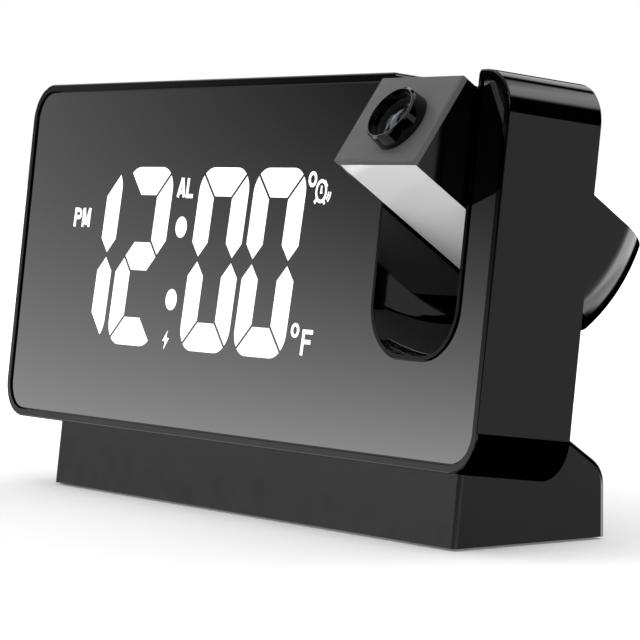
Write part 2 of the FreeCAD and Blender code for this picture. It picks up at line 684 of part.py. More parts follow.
def make_back_cover():
    plate = outline_block("cover_outline", "wall + cover_gap", COVER_FRONT, "cover_thickness")
    cuts = [
        slot_block("cover_notch", "slot_wall + cover_gap", COVER_FRONT - PAST, "cover_thickness + 2"),
        hole_in_cover("door_hole", DOOR_SPOT, "door_radius + button_gap"),
        hole_in_cover("jack_hole", JACK_SPOT, JACK_RADIUS),
        hole_in_cover("sound_hole_0", BUZZER_SPOT, SOUND_HOLE),
    ]
    for i, x in enumerate(BUTTON_SPOTS):
        cuts.append(hole_in_cover("button_hole_%d" % i, (x, BUTTON_LEVEL), "button_radius + button_gap"))
    x, z = USB_SPOT
    cuts.append(window_in_cover("usb_hole", (x - USB_WIDTH / 2, z - USB_HEIGHT / 2), USB_WIDTH, USB_HEIGHT))
    x, z = BUZZER_SPOT
    for i in range(SOUND_HOLE_COUNT):
        angle = 2 * math.pi * i / SOUND_HOLE_COUNT
        spot = (x + SOUND_RING * math.cos(angle), z + SOUND_RING * math.sin(angle))
        cuts.append(hole_in_cover("sound_hole_%d" % (i + 1), spot, SOUND_HOLE))
    for i in range(VENT_COUNT):
        corner = (VENT_LEFT + i * VENT_PITCH, VENT_LOW)
        cuts.append(window_in_cover("vent_%d" % i, corner, VENT_WIDTH, VENT_HEIGHT))
    sink = d.body_depth - SINK_DEPTH
    for i, (x, z) in enumerate(COVER_SCREW_SPOTS):
        cuts.append(hole_in_cover("cover_screw_hole_%d" % i, (x, z), SCREW_HOLE_RADIUS))
        foot = (x, sink, z)
        cuts.append(cylinder("cover_screw_sink_%d" % i, foot, Y_AXIS, SINK_RADIUS, "cover_thickness"))
    finish(cut("cover_cut", plate, cuts), "back_cover", BODY_FRAME)
    screws = []
    length = SCREW_IN_POST + sink - COVER_FRONT
    groove = sink + SCREW_HEAD_HEIGHT - DRIVE_DEPTH
    long, short = DRIVE_LENGTH / 2, DRIVE_WIDTH / 2
    for i, (x, z) in enumerate(COVER_SCREW_SPOTS):
        foot = (x, sink, z)
        head = cylinder("cover_screw_head_%d" % i, foot, Y_AXIS, SCREW_HEAD_RADIUS, SCREW_HEAD_HEIGHT)
        tip = (x, COVER_FRONT - SCREW_IN_POST, z)
        shank = cylinder("cover_screw_shank_%d" % i, tip, Y_AXIS, "screw_radius", length)
        drive = box("cover_screw_drive_%d" % i, (x - long, groove, z - short), DRIVE_LENGTH, 1, DRIVE_WIDTH)
        cross = box("cover_screw_cross_%d" % i, (x - short, groove, z - long), DRIVE_WIDTH, 1, DRIVE_LENGTH)
        solid = fuse("cover_screw_solid_%d" % i, [head, shank])
        screws.append(cut("cover_screw_%d" % i, solid, [drive, cross]))
    finish(group("cover_screw_set", screws), "back_cover_screws", BODY_FRAME)


def usb_block(name, inset, start):
    """A block with the socket's outline, drawn in by an amount."""
    x, z = USB_SPOT
    width, height = USB_WIDTH - 2 * inset, USB_HEIGHT - 2 * inset
    return box(name, (x - width / 2, start, z - height / 2), width, SOCKET_LENGTH, height)


def make_sockets():
    tin = usb_block("usb_tin", USB_FIT, BOARD_BACK)
    mouth = usb_block("usb_mouth", USB_FIT + USB_WALL, BOARD_BACK + USB_FIT + USB_WALL)
    finish(cut("usb_tin_cut", tin, [mouth]), "usb_socket", BODY_FRAME)
    x, z = USB_SPOT
    corner = (x - USB_TONGUE_WIDTH / 2, BOARD_BACK + USB_FIT + USB_WALL, z + 0.5)
    tongue = box("usb_tongue_bar", corner, USB_TONGUE_WIDTH, SOCKET_LENGTH - 1.6, USB_TONGUE_HEIGHT)
    finish(tongue, "usb_tongue", BODY_FRAME)
    x, z = JACK_SPOT
    floor = BOARD_BACK + JACK_FLOOR
    barrel = cylinder("jack_barrel", (x, BOARD_BACK, z), Y_AXIS, JACK_RADIUS - 0.15, SOCKET_LENGTH)
    bore = cylinder("jack_bore", (x, floor, z), Y_AXIS, JACK_BORE, SOCKET_LENGTH)
    finish(cut("jack_cut", barrel, [bore]), "power_inlet", BODY_FRAME)
    pin = cylinder("jack_pin", (x, floor, z), Y_AXIS, JACK_PIN, SOCKET_LENGTH - JACK_FLOOR - 1)
    finish(pin, "power_inlet_pin", BODY_FRAME)
    x, z = BUZZER_SPOT
    front = COVER_FRONT - BUZZER_GAP - BUZZER_HEIGHT
    disc = cylinder("buzzer_disc", (x, front, z), Y_AXIS, BUZZER_RADIUS, BUZZER_HEIGHT)
    hole = cylinder("buzzer_hole", (x, front + 2, z), Y_AXIS, BUZZER_HOLE, 2)
    foot_width, foot_height = BUZZER_FOOT
    corner = (x - foot_width / 2, BOARD_BACK, z - foot_height / 2)
    foot = box("buzzer_foot", corner, foot_width, front - BOARD_BACK, foot_height)
    finish(cut("buzzer_cut", fuse("buzzer_solid", [disc, foot]), [hole]), "buzzer", BODY_FRAME)


# Things that are pressed, turned or lifted off
def make_controls():
    outer = d.body_depth + d.button_stand_out
    start = BUTTON_BACK + FLANGE_THICKNESS

    def at_end(edge):
        return SOFT_EDGE if edge.BoundBox.YMin > outer - 0.01 else 0

    for name, x in zip(BUTTON_NAMES, BUTTON_SPOTS):
        flange = cylinder(
            name + "_flange", (x, BUTTON_BACK, BUTTON_LEVEL), Y_AXIS, "button_radius + %s" % FLANGE_RIM,
            FLANGE_THICKNESS,
        )
        stem = cylinder(name + "_stem", (x, start, BUTTON_LEVEL), Y_AXIS, "button_radius", outer - start)
        rounded = fillet(name + "_round", stem, at_end)
        finish(fuse(name + "_solid", [flange, rounded]), name, BODY_FRAME)
    top = d.body_height + d.snooze_rise
    corner = (SNOOZE_LEFT, SNOOZE_FRONT, top - SNOOZE_HEIGHT)
    bar = box("snooze_block", corner, "snooze_width", "snooze_depth", SNOOZE_HEIGHT)

    def on_top(edge):
        return SOFT_EDGE if edge.BoundBox.ZMin > top - 0.01 else 0

    skirt = 2 * SNOOZE_SKIRT
    flange = box(
        "snooze_flange", (SNOOZE_LEFT - SNOOZE_SKIRT, SNOOZE_FRONT - SNOOZE_SKIRT, SNOOZE_LOW),
        "snooze_width + %s" % skirt, "snooze_depth + %s" % skirt, SNOOZE_FLANGE,
    )
    finish(fuse("snooze_solid", [fillet("snooze_round", bar, on_top), flange]), "snooze_bar", BODY_FRAME)
    x, z = DOOR_SPOT
    inner = COVER_FRONT + DOOR_RECESS
    disc = cylinder("door_disc", (x, inner, z), Y_AXIS, "door_radius", d.body_depth - inner)
    width, depth, height = COIN_SLOT
    corner = (x - width / 2, d.body_depth - depth, z - height / 2)
    coin_slot = box("door_coin_slot", corner, width, depth + PAST, height)
    finish(cut("door_cut", disc, [coin_slot]), "battery_door", BODY_FRAME)


# Projector, drawn upright about its pivot: X along the pivot, Z along the lens axis
def make_projector_case():
    corner = (-HALF_CASE, -HALF_SLAB, -CASE_OVERLAP)
    head = box("case_head", corner, "projector_width", "projector_thickness", CASE_FRONT + CASE_OVERLAP)
    start = PIVOT_IN_CASE - Vector(HALF_CASE, 0, 0)
    tail = wheel("tail_wheel", start, "tail_radius", "projector_width", d.tail_round)
    corner = (-HALF_CASE - PAST, -HALF_SLAB, -d.tail_radius - PAST)
    slab = box("tail_slab", corner, "projector_width + 2", "projector_thickness", "tail_radius + 1")
    outer = fuse("case_outer", [head, common("case_tail", tail, slab)])
    inside = "projector_width - 2 * case_wall"
    x = -HALF_CASE + d.case_wall
    y = -HALF_SLAB + d.case_wall
    length = CASE_FRONT - CASE_LOW
    inside_thickness = "projector_thickness - 2 * case_wall"
    hollow = box("case_hollow", (x, y, CASE_LOW), inside, inside_thickness, length + PAST)
    mouth = box(
        "case_mouth", (x + CASE_LEDGE, -HALF_SLAB - PAST, CASE_LOW + CASE_LEDGE),
        inside + " - %s" % (2 * CASE_LEDGE), "case_wall + 2", length - 3 * CASE_LEDGE,
    )
    length = CASE_FRONT - PLATE_LOW
    rebate = box(
        "case_rebate", (-HALF_CASE + PLATE_MARGIN, -HALF_SLAB - PAST, PLATE_LOW),
        "projector_width - %s" % (2 * PLATE_MARGIN), "under_plate_thickness + 1", length + PAST,
    )
    bore = cylinder("case_bore", start - X_AXIS, X_AXIS, "trunnion_radius", "projector_width + 2")
    finish(cut("case_cut", outer, [hollow, mouth, rebate, bore]), "projector_case", PROJECTOR_FRAME)
    margin = PLATE_MARGIN + PLATE_GAP
    plate = box(
        "under_plate_block", (-HALF_CASE + margin, -HALF_SLAB, PLATE_LOW + PLATE_GAP),
        "projector_width - %s" % (2 * margin), "under_plate_thickness", length - 2 * PLATE_GAP,
    )
    finish(plate, "projector_under_plate", PROJECTOR_FRAME)
    corner = (-HALF_CASE, -HALF_SLAB, CASE_FRONT)
    face = box("face_block", corner, "projector_width", "projector_thickness", "face_thickness")
    front = CASE_FRONT + d.face_thickness

    def front_edges(edge):
        return FACE_BEVEL if edge.BoundBox.ZMin > front - 0.01 else 0

    chamfered = fillet("face_bevel", face, front_edges, kind="Part::Chamfer")
    start = (d.lens_shift, -d.lens_drop, CASE_FRONT - PAST)
    hole = cylinder("face_hole", start, Z_AXIS, "tube_radius", "face_thickness + 2")
    finish(cut("face_cut", chamfered, [hole]), "lens_face_plate", PROJECTOR_FRAME)


def make_optics():
    x, y = d.lens_shift, -d.lens_drop
    tube_top = d.projector_reach + TUBE_STAND_OUT
    tube = cylinder("tube_outer", (x, y, TUBE_LOW), Z_AXIS, "tube_radius", tube_top - TUBE_LOW)
    bore = cylinder("tube_bore", (x, y, TUBE_LOW + TUBE_FLOOR), Z_AXIS, "lens_radius", tube_top)
    throat = cylinder("tube_throat", (x, y, TUBE_LOW - PAST), Z_AXIS, TUBE_THROAT, TUBE_FLOOR + 2 * PAST)
    finish(cut("tube_cut", tube, [bore, throat]), "lens_tube", PROJECTOR_FRAME)
    for name, low, curve, rim in (
        ("front_lens", tube_top - 2.6, *FRONT_LENS), ("rear_lens", TUBE_LOW + 3, *REAR_LENS),
    ):
        sagitta = curve - math.sqrt(curve ** 2 - d.lens_radius ** 2)
        disc = cylinder(name + "_disc", (x, y, low), Z_AXIS, "lens_radius", rim + sagitta)
        ball = doc.addObject("Part::Sphere", name + "_ball")
        bind(ball, Radius=curve)
        place(ball, x, y, low + rim + sagitta - curve)
        finish(common(name + "_solid", disc, ball), name, PROJECTOR_FRAME)
    base = d.projector_reach + d.running_gap
    top = base + d.ring_height
    barrel = cone("ring_barrel", (x, y, base), Z_AXIS, "ring_foot_radius", "ring_radius", "ring_height")

    def at_mouth(edge):
        return RING_BEVEL if edge.BoundBox.ZMin > top - 0.01 else 0

    bevelled = fillet("ring_bevel", barrel, at_mouth, kind="Part::Chamfer")
    start = (x, y, base - PAST)
    guide = cylinder("ring_guide", start, Z_AXIS, "tube_radius + running_gap", "ring_height + 2")
    mouth = cylinder("ring_mouth", (x, y, tube_top + 0.3), Z_AXIS, "ring_bore", "ring_height")
    finish(cut("ring_cut", bevelled, [guide, mouth]), "focus_ring", PROJECTOR_FRAME)
    half = MASK_WIDTH / 2
    mask_low = TUBE_LOW - MASK_THICKNESS
    mask = box("mask_sheet", (x - half, y - half, mask_low), MASK_WIDTH, MASK_WIDTH, MASK_THICKNESS)
    finish(mask, "digit_mask", PROJECTOR_FRAME)
    width, height = LED_BOARD
    corner = (-width / 2, -height / 2, LED_BOARD_LOW)
    board = box("led_board_plate", corner, width, height, "board_thickness")
    finish(board, "projector_led_board", PROJECTOR_FRAME)
    low = LED_BOARD_LOW + d.board_thickness
    lamp = cylinder("led_dome", (x, y, low), Z_AXIS, LED_RADIUS, LED_HEIGHT)
    finish(lamp, "projector_led", PROJECTOR_FRAME)
    holder = cylinder("condenser_wall", (x, y, low), Z_AXIS, CONDENSER_RADIUS + SHROUD_WALL, mask_low - low)
    light_way = cylinder("condenser_way", (x, y, low - PAST), Z_AXIS, CONDENSER_RADIUS, 20)
    finish(cut("condenser_cut", holder, [light_way]), "light_shroud", PROJECTOR_FRAME)
    start = (x, y, CONDENSER_LOW)
    condenser = cylinder("condenser_disc", start, Z_AXIS, CONDENSER_RADIUS, CONDENSER_THICKNESS)
    finish(condenser, "condenser_lens", PROJECTOR_FRAME)


def make_trunnions():
    inner = HALF_CASE - d.case_wall - TRUNNION_FLANGE
    outer = WALL_INSIDE + TRUNNION_END
    washer_thickness = (d.slot_width - d.projector_width) / 2 - 0.1
    washers = []
    clips = []
    for name, side in (("trunnion_left", -1), ("trunnion_right", 1)):
        along = Vector(side, 0, 0)
        root = PIVOT_IN_CASE + along * inner
        tube = cylinder(name + "_tube", root, along, "trunnion_radius", outer - inner)
        rim = "trunnion_radius + %s" % TRUNNION_RIM
        flange = cylinder(name + "_flange", root, along, rim, TRUNNION_FLANGE)
        bore = cylinder(name + "_bore", root - along, along, "trunnion_bore", outer - inner + 2 * PAST)
        finish(cut(name + "_cut", fuse(name + "_solid", [tube, flange]), [bore]), name, PROJECTOR_FRAME)
        for kind, store, start, rim, thickness in (
            ("washer", washers, HALF_CASE, WASHER_RIM, washer_thickness),
            ("clip", clips, WALL_INSIDE + CLIP_GAP, CLIP_RIM, CLIP_THICKNESS),
        ):
            tag = "%s_%s" % (name, kind)
            foot = PIVOT_IN_CASE + along * start
            ring = cylinder(tag, foot, along, "trunnion_radius + %s" % rim, thickness)
            eye = cylinder(tag + "_eye", foot - along, along, "trunnion_radius", thickness + 2 * PAST)
            store.append(cut(tag + "_cut", ring, [eye]))
    finish(group("washer_set", washers), "friction_washers", PROJECTOR_FRAME)
    finish(group("clip_set", clips), "trunnion_clips", PROJECTOR_FRAME)


# Stand: a leaning block that cradles the housing from below and behind
def stand_outline():
    """Side profile as (y, z), from the front foot round to the rear foot."""
    lean = math.radians(d.body_lean)
    deep, tall = math.cos(lean), math.sin(lean)
    low = d.foot_stand_out
    front_top = (d.body_lift - d.stand_setback * LEAN_SLOPE) / (1 + LEAN_SLOPE ** 2)
    corner = (d.body_depth * deep, d.body_lift - d.body_depth * tall)
    crest = (corner[0] + (d.stand_rise - corner[1]) * LEAN_SLOPE, d.stand_rise)
    rear = d.stand_setback + d.stand_depth
    drop = (rear - crest[0]) * math.tan(math.radians(d.stand_slope))
    return [
        (d.stand_setback + low * LEAN_SLOPE, low), (d.stand_setback + front_top * LEAN_SLOPE, front_top),
        corner, crest, (rear, d.stand_rise - drop), (rear, low),
    ]


def make_stand():
    across = FreeCAD.Rotation(Vector(0, 1, 0), Vector(0, 0, 1), Vector(1, 0, 0), "ZXY")
    profile = [(spot, None) for spot in stand_outline()]
    sketch = sketch_on("stand_profile", across, Vector(0, 0, 0), [profile])
    block = extrude("stand_block", sketch, X_AXIS, "stand_width", symmetric=True)
    doc.recompute()
    half = d.stand_width / 2
    rear = d.stand_setback + d.stand_depth

    def ridge(edge):
        at_back = edge.BoundBox.YMin > rear - 0.01 and edge.BoundBox.ZMin > 5
        return STAND_BACK_RADIUS if runs_along(edge, X_AXIS) and at_back else 0

    ridged = fillet("stand_ridge", block, ridge)
    doc.recompute()

    def corners(edge):
        upright = abs(abs(edge.CenterOfMass.x) - half) < 0.01 and not runs_along(edge, Y_AXIS)
        front = edge.BoundBox.YMax < d.stand_setback + 3 and edge.BoundBox.ZMax > 5
        back = edge.BoundBox.YMin > rear - 0.01
        return d.stand_edge if upright and (front or back) else 0

    outer = fillet("stand_corners", ridged, corners)
    front_wall = d.stand_wall + STAND_EXTRA
    hollow = box(
        "stand_hollow", (-half + d.stand_wall, d.stand_setback + front_wall, -PAST),
        "stand_width - 2 * stand_wall", "stand_depth - 2 * stand_wall - %s" % STAND_EXTRA,
        STAND_HOLLOW + PAST,
    )
    holes = []
    for i, x in enumerate(STAND_SCREW_SPOTS):
        start = (x, STAND_SCREW_Y, STAND_HOLLOW - PAST)
        holes.append(cylinder("stand_hole_%d" % i, start, Z_AXIS, STAND_HOLE_RADIUS, 12))
    posts = []
    foot = d.foot_stand_out + d.stand_wall
    for i, (x, y) in enumerate(PLATE_SCREW_SPOTS):
        holes.append(cylinder("plate_post_bore_%d" % i, (x, y, 2), Z_AXIS, PLATE_SCREW_RADIUS, 6))
        length = STAND_HOLLOW - d.stand_wall
        posts.append(cylinder("plate_post_%d" % i, (x, y, foot), Z_AXIS, PLATE_POST_RADIUS, length))
    shell = cut("stand_shell", outer, [hollow])
    finish(cut("stand_cut", fuse("stand_with_posts", [shell] + posts), holes), "stand", TABLE_FRAME)
    screws = []
    radius, height = STAND_SCREW_HEAD
    for i, x in enumerate(STAND_SCREW_SPOTS):
        start = (x, STAND_SCREW_Y, STAND_HOLLOW - height)
        head = cylinder("stand_screw_head_%d" % i, start, Z_AXIS, radius, height)
        start = (x, STAND_SCREW_Y, STAND_HOLLOW)
        shank = cylinder("stand_screw_shank_%d" % i, start, Z_AXIS, "stand_screw_radius", STAND_SHANK)
        screws.append(fuse("stand_screw_%d" % i, [head, shank]))
    finish(group("stand_screw_set", screws), "stand_screws", TABLE_FRAME)


def make_stand_underside():
    x = -d.stand_width / 2 + d.stand_wall + PLATE_FIT
    y = d.stand_setback + d.stand_wall + STAND_EXTRA + PLATE_FIT
    plate = box(
        "underside_plate", (x, y, d.foot_stand_out), "stand_width - 2 * stand_wall - %s" % (2 * PLATE_FIT),
        "stand_depth - 2 * stand_wall - %s" % (STAND_EXTRA + 2 * PLATE_FIT), "stand_wall",
    )
    radius, height = PLATE_SCREW_HEAD
    seat = d.foot_stand_out + PLATE_SINK_DEPTH
    cuts = []
    screws = []
    for i, (x, y) in enumerate(PLATE_SCREW_SPOTS):
        cuts.append(cylinder("plate_hole_%d" % i, (x, y, 0), Z_AXIS, SCREW_HOLE_RADIUS, 5))
        cuts.append(cylinder("plate_sink_%d" % i, (x, y, 0), Z_AXIS, PLATE_SINK_RADIUS, seat))
        head = cylinder("plate_screw_head_%d" % i, (x, y, seat - height), Z_AXIS, radius, height)
        shank = cylinder("plate_screw_shank_%d" % i, (x, y, seat), Z_AXIS, PLATE_SCREW_RADIUS, PLATE_SHANK)
        screws.append(fuse("plate_screw_%d" % i, [head, shank]))
    feet = []
    for i, (x, y) in enumerate(FOOT_SPOTS):
        cuts.append(cylinder("foot_seat_%d" % i, (x, y, -PAST), Z_AXIS, "foot_radius", "1 + foot_height"))
        feet.append(cylinder("foot_%d" % i, (x, y, 0), Z_AXIS, "foot_radius", "foot_height"))
    finish(cut("underside_cut", plate, cuts), "stand_underside", TABLE_FRAME)
    finish(group("foot_set", feet), "rubber_feet", TABLE_FRAME)
    finish(group("plate_screw_set", screws), "underside_screws", TABLE_FRAME)
    width, depth, height = BALLAST
    corner = (-width / 2, BALLAST_FRONT, d.foot_stand_out + d.stand_wall)
    finish(box("ballast_bar", corner, width, depth, height), "ballast_plate", TABLE_FRAME)


make_housing()
make_mirror_panel()
make_display()
make_electronics()
make_battery()
make_back_cover()
make_sockets()
make_controls()
make_projector_case()
make_optics()
make_trunnions()
make_stand()
make_stand_underside()
doc.recompute()

for item in doc.Objects:
    if "Invalid" in item.State or "Error" in item.State:
        raise RuntimeError("%s did not recompute" % item.Name)

os.makedirs("parts", exist_ok=True)
whole = FreeCAD.BoundBox()
for item in sub_parts:
    shape = item.Shape
    if shape.isNull() or not shape.isValid() or shape.Volume <= 0:
        raise RuntimeError("%s has no sound shape" % item.Label)
    whole.add(shape.BoundBox)
    shape.exportStep("parts/%s.step" % item.Label)
print("%d sub-parts, x %.2f to %.2f, y %.2f to %.2f, z %.2f to %.2f" % (
    len(sub_parts), whole.XMin, whole.XMax, whole.YMin, whole.YMax, whole.ZMin, whole.ZMax))
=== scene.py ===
"""Looks of a projection alarm clock: materials, lit indicators, rear marks, light and camera."""
import json
import math

import bmesh
import bpy
from mathutils import Matrix, Vector


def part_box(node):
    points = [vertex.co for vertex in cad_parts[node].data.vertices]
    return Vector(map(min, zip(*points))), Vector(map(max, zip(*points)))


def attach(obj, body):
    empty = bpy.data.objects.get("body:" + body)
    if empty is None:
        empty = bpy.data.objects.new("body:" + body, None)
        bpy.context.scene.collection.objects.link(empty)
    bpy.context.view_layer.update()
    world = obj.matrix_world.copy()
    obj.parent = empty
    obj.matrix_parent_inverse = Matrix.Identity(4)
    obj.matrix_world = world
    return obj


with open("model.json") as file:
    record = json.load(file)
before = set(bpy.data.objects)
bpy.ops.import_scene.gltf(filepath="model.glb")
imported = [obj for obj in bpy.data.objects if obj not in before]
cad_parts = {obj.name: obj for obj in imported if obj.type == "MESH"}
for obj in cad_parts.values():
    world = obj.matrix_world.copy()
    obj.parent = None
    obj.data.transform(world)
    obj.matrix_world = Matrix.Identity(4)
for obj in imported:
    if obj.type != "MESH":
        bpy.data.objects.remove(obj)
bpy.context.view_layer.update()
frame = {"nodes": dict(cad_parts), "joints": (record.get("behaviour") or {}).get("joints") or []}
MM = 0.001

# The housing's own axes: X along the front, Y into the depth, Z up the leaning front
joints = {joint["name"]: joint for joint in frame["joints"]}
DOWN_THE_FRONT = Vector(joints["snooze_press"]["axis"])
LEAN = math.atan2(-DOWN_THE_FRONT.y, -DOWN_THE_FRONT.z)
PIVOT = Vector(joints["projector_tilt"]["pos_m"])
PIVOT_IN_HOUSING = Vector((68.8, 12.43, 59.77)) * MM
LEANING = Matrix.Rotation(-LEAN, 4, "X")
HOUSING = Matrix.Translation(PIVOT) @ LEANING @ Matrix.Translation(-PIVOT_IN_HOUSING)
PANEL_FRONT = 0.4
COVER_BACK = 22.6


# Shader helpers
class Shader:
    """A material's node tree with short calls for the nodes used here."""

    def __init__(self, name, slot):
        self.material = bpy.data.materials.new(name)
        self.material.use_nodes = True
        self.slot = slot
        self.tree = self.material.node_tree
        self.surface = self.tree.nodes["Principled BSDF"]
        self.coordinates = self.tree.nodes.new("ShaderNodeTexCoord").outputs["Object"]

    def put(self, **values):
        for name, value in values.items():
            self.surface.inputs[name.replace("_", " ")].default_value = value
        return self

    def link(self, output, socket):
        self.tree.links.new(output, self.surface.inputs[socket])
        return self

    def noise(self, scale, detail=3.0, roughness=0.5, stretch=(1, 1, 1)):
        mapping = self.tree.nodes.new("ShaderNodeMapping")
        mapping.inputs["Scale"].default_value = stretch
        self.tree.links.new(self.coordinates, mapping.inputs["Vector"])
        node = self.tree.nodes.new("ShaderNodeTexNoise")
        node.inputs["Scale"].default_value = scale
        node.inputs["Detail"].default_value = detail
        node.inputs["Roughness"].default_value = roughness
        self.tree.links.new(mapping.outputs["Vector"], node.inputs["Vector"])
        return node.outputs["Fac"]

    def spots(self, scale):
        node = self.tree.nodes.new("ShaderNodeTexVoronoi")
        node.inputs["Scale"].default_value = scale
        self.tree.links.new(self.coordinates, node.inputs["Vector"])
        return node.outputs["Distance"]

    def spread(self, factor, low, high, from_low=0.3, from_high=0.7):
        node = self.tree.nodes.new("ShaderNodeMapRange")
        ends = {"From Min": from_low, "From Max": from_high, "To Min": low, "To Max": high}
        for name, value in ends.items():
            node.inputs[name].default_value = value
        self.tree.links.new(factor, node.inputs["Value"])
        return node.outputs["Result"]

    def tint(self, factor, first, second):
        node = self.tree.nodes.new("ShaderNodeMix")
        node.data_type = "RGBA"
        node.inputs["A"].default_value = (*first, 1)
        node.inputs["B"].default_value = (*second, 1)
        self.tree.links.new(factor, node.inputs["Factor"])
        return node.outputs["Result"]

    def bump(self, height, strength, distance):
        node = self.tree.nodes.new("ShaderNodeBump")
        node.inputs["Strength"].default_value = strength
        node.inputs["Distance"].default_value = distance
        self.tree.links.new(height, node.inputs["Height"])
        return self.link(node.outputs["Normal"], "Normal")


def plastic(name, slot, dark, light, shine, grain_scale, grain_depth, grain_strength=0.4):
    """Moulded plastic: faint mottling, uneven polish and a fine grain."""
    shader = Shader(name, slot)
    shader.link(shader.tint(shader.noise(60), dark, light), "Base Color")
    shader.link(shader.spread(shader.noise(180, 4), *shine), "Roughness")
    return shader.bump(shader.noise(grain_scale, 2), grain_strength, grain_depth)


def metal(name, slot, dark, light, shine, stretch, scale=900):
    """Metal with drawn or turned marks along one way."""
    shader = Shader(name, slot).put(Metallic=1.0)
    streaks = shader.noise(scale, 4, 0.6, stretch)
    shader.link(shader.tint(streaks, dark, light), "Base Color")
    shader.link(shader.spread(streaks, *shine), "Roughness")
    return shader.bump(streaks, 0.15, 0.00001)


def mirror(name, slot, silver, haze):
    """Silvered sheet with the faintest smears of handling."""
    shader = Shader(name, slot).put(Metallic=1.0)
    smear = shader.noise(25, 5, 0.6, (1, 1, 0.4))
    shader.link(shader.tint(smear, [0.97 * part for part in silver], silver), "Base Color")
    return shader.link(shader.spread(smear, *haze), "Roughness")


def glowing(name, slot, strength):
    """Lit plastic: lamps behind a diffuser, a touch brighter over each lamp."""
    shader = Shader(name, slot).put(Roughness=0.35)
    patches = shader.spots(420)
    shader.link(shader.tint(patches, (1, 1, 1), (0.95, 0.96, 0.98)), "Emission Color")
    shader.put(Base_Color=(0.75, 0.75, 0.75, 1), Emission_Strength=strength)
    return shader.bump(shader.noise(2500), 0.1, 0.00001)


def circuit_board(name, slot):
    """Solder mask over copper tracks that run along and across."""
    shader = Shader(name, slot).put(Roughness=0.35)
    tracks = shader.tree.nodes.new("ShaderNodeTexBrick")
    tracks.inputs["Scale"].default_value = 260
    tracks.inputs["Mortar Size"].default_value = 0.06
    tracks.inputs["Color1"].default_value = (0.012, 0.09, 0.035, 1)
    tracks.inputs["Color2"].default_value = (0.015, 0.11, 0.04, 1)
    tracks.inputs["Mortar"].default_value = (0.03, 0.19, 0.07, 1)
    shader.tree.links.new(shader.coordinates, tracks.inputs["Vector"])
    shader.link(tracks.outputs["Color"], "Base Color")
    return shader.bump(tracks.outputs["Fac"], 0.3, 0.00003)


def lens_glass(name, slot):
    """Clear coated lens with a trace of dust."""
    shader = Shader(name, slot).put(Transmission_Weight=1.0, IOR=1.52, Coat_Weight=0.25)
    shader.put(Coat_Tint=(0.72, 0.8, 1.0, 1), Base_Color=(0.93, 0.97, 1, 1))
    return shader.link(shader.spread(shader.noise(900, 4), 0.0, 0.03), "Roughness")


def grey(level):
    return (level, level, level)


BLACK = grey(0.0002)
BLACK_HIGH = grey(0.0006)
MICRON = 0.000001
# Title, slot, darker and lighter tone, range of roughness, then the grain's scale, depth and strength
PLASTICS = {
    "gloss": (
        "gloss black plastic", "black_gloss", BLACK, BLACK_HIGH, (0.03, 0.07), 700, 10 * MICRON, 0.04,
    ),
    "case": (
        "projector black plastic", "black_gloss", BLACK, BLACK_HIGH, (0.09, 0.13), 900, 10 * MICRON, 0.04,
    ),
    "stand": (
        "stand black plastic", "black_gloss", BLACK, BLACK_HIGH, (0.1, 0.16), 900, 10 * MICRON, 0.06,
    ),
    # face: the lens face plate is black plastic; its grey base colour is painted sheen, in place of a
    # blurred reflection of the softboxes
    "face": (
        "face plastic grey for painted sheen", "black_satin", grey(0.112), grey(0.118), (0.4, 0.5), 5200, 10 * MICRON, 0.1,
    ),
    "satin": (
        "grained black plastic", "black_satin", (0.012, 0.012, 0.013), (0.02, 0.02, 0.021),
        (0.38, 0.5), 5200, 40 * MICRON,
    ),
    "keys": (
        "button black plastic", "black_satin", (0.02, 0.02, 0.021), (0.03, 0.03, 0.031),
        (0.3, 0.4), 4200, 20 * MICRON,
    ),
    # plate: the projector's under plate is a mirror; its near-white, non-metal base colour is a painted
    # reflection of the white floor below
    "plate": (
        "plate painted white for its reflection", "mirror_plate", grey(0.95), grey(0.97), (0.1, 0.16), 900, 10 * MICRON, 0.04,
    ),
    "film": (
        "diffusing film", "milky_film", grey(0.8), grey(0.86), (0.5, 0.6), 3000, 10 * MICRON,
    ),
    "white": (
        "white moulding", "white_moulding", (0.72, 0.72, 0.7), (0.8, 0.8, 0.78),
        (0.4, 0.55), 2600, 20 * MICRON,
    ),
    "chip": (
        "moulded epoxy", "chip_black", grey(0.02), grey(0.035), (0.5, 0.65), 6000, 20 * MICRON,
    ),
    "lamp": (
        "phosphor", "lamp_yellow", (0.8, 0.62, 0.2), (0.88, 0.72, 0.3), (0.2, 0.3), 4000, 10 * MICRON,
    ),
    "rubber": (
        "moulded rubber", "rubber_black", grey(0.012), grey(0.022), (0.7, 0.85), 2500, 50 * MICRON,
    ),
}
# Title, slot, darker and lighter tone, range of roughness, and the stretch of the marks
METALS = {
    "tin": ("bright tin", "bright_tin", (0.62, 0.62, 0.63), (0.72, 0.72, 0.73), (0.18, 0.3), (1, 1, 6)),
    "can": (
        "drawn aluminium", "bare_aluminium", (0.72, 0.72, 0.73), (0.82, 0.82, 0.83), (0.25, 0.4), (1, 8, 1),
    ),
    "brass": ("turned brass", "brass_part", (0.62, 0.43, 0.17), (0.72, 0.52, 0.24), (0.2, 0.35), (6, 1, 6)),
    "steel": ("zinc plated steel", "steel", (0.42, 0.42, 0.43), (0.56, 0.56, 0.57), (0.22, 0.4), (5, 1, 5)),
}
finishes = {name: plastic(*values) for name, values in PLASTICS.items()}
finishes.update({name: metal(*values) for name, values in METALS.items()})
finishes["panel"] = mirror("half silvered mirror", "mirror_acrylic", grey(0.3), (0.0, 0.02))
finishes["lit"] = glowing("lit display", "digit_white", 1.0)
finishes["board"] = circuit_board("circuit board", "board_green")
finishes["lens"] = lens_glass("coated lens", "lens_clear")
# less specular on the face plate, whose sheen is painted into its grey base colour instead
finishes["face"].put(Specular_IOR_Level=0.2)
